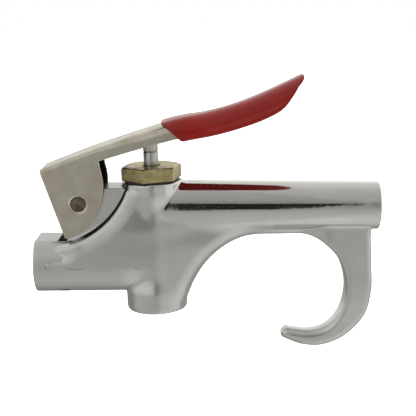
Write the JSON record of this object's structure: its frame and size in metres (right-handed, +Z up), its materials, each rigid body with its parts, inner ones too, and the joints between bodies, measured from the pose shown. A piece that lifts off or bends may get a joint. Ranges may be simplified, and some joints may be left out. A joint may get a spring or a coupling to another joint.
{
  "type": "air blow gun",
  "caption": "Lever-operated compressed-air blow gun: cast body with hose inlet, nozzle outlet, valve and finger hook, and a pivoting channel lever with a dipped grip.",
  "frame": {"origin": "centre of the hose port's mouth, on the port's axis", "axes": "+X from the hose port towards the nozzle end, +Y across the body, +Z up towards the lever"},
  "size_m": [0.1075, 0.02, 0.0873],
  "materials": {
    "chrome_casting": "polished chrome plate over zinc casting",
    "nickel_steel": "satin nickel plate on pressed steel",
    "red_vinyl": "dipped vinyl, semi-gloss",
    "dark_steel": "oiled dark steel",
    "brass": "machined, slightly tarnished",
    "zinc_steel": "bright zinc plate",
    "spring_steel": "drawn spring wire",
    "black_rubber": "matt"
  },
  "bodies": {
    "body": {"body_casting": "chrome_casting", "pivot_pin": "dark_steel", "valve_bonnet": "brass", "bonnet_gasket": "black_rubber", "cartridge_o_ring": "black_rubber", "valve_spring": "spring_steel"},
    "lever": {"lever": "nickel_steel", "lever_grip": "red_vinyl"},
    "stem": {"valve_stem": "zinc_steel", "stem_o_ring": "black_rubber", "valve_disc": "black_rubber", "disc_cup": "brass", "disc_lock_nut": "brass"}
  },
  "joints": [
    {"name": "lever_hinge", "type": "hinge", "parent": "body", "child": "lever", "pos_m": [0.0142, 0, 0.01965], "axis": [0, 1, 0], "range_deg": [0, 8], "stiffness_Nm_per_rad": 2.4, "springref_deg": -11.46},
    {"name": "stem_slide", "type": "slide", "parent": "body", "child": "stem", "axis": [0.0332, 0, -0.9995], "range_m": [0, 0.004], "deforming": ["valve_spring"]}
  ],
  "couplings": [
    {"joint": "stem_slide", "follows": "lever_hinge", "m_per_rad": 0.0285}
  ]
}
